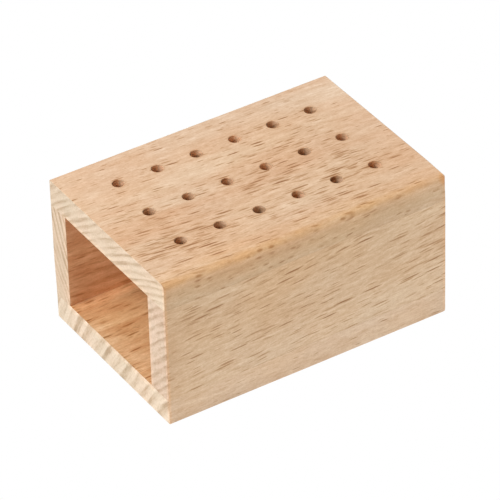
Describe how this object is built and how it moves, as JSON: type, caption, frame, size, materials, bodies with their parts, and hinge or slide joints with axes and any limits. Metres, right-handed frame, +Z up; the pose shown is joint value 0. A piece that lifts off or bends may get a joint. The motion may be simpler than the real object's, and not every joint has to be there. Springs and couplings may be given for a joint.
{
  "type": "tool storage caddy",
  "caption": "Small glued beech box tunnel, open at both ends, with rows of round holes through its top board for slim hobby tools and a compartment below.",
  "frame": {"origin": "centre of the footprint, on the table under the caddy", "axes": "+Z up, out through the drilled top; the compartment and the wood grain run along Y, with the opening that faces the user at -Y; +X to the user's right when looking into that opening"},
  "size_m": [0.066, 0.1, 0.0512],
  "materials": {
    "beech_top": "sanded bare beech, pinkish tan, matt",
    "beech_bottom": "sanded bare beech, pale, matt",
    "beech_left": "sanded bare beech, matt",
    "beech_right": "sanded bare beech, yellowish tan, matt"
  },
  "bodies": {
    "root": {"top_board": "beech_top", "bottom_board": "beech_bottom", "left_side_board": "beech_left", "right_side_board": "beech_right"}
  },
  "joints": []
}
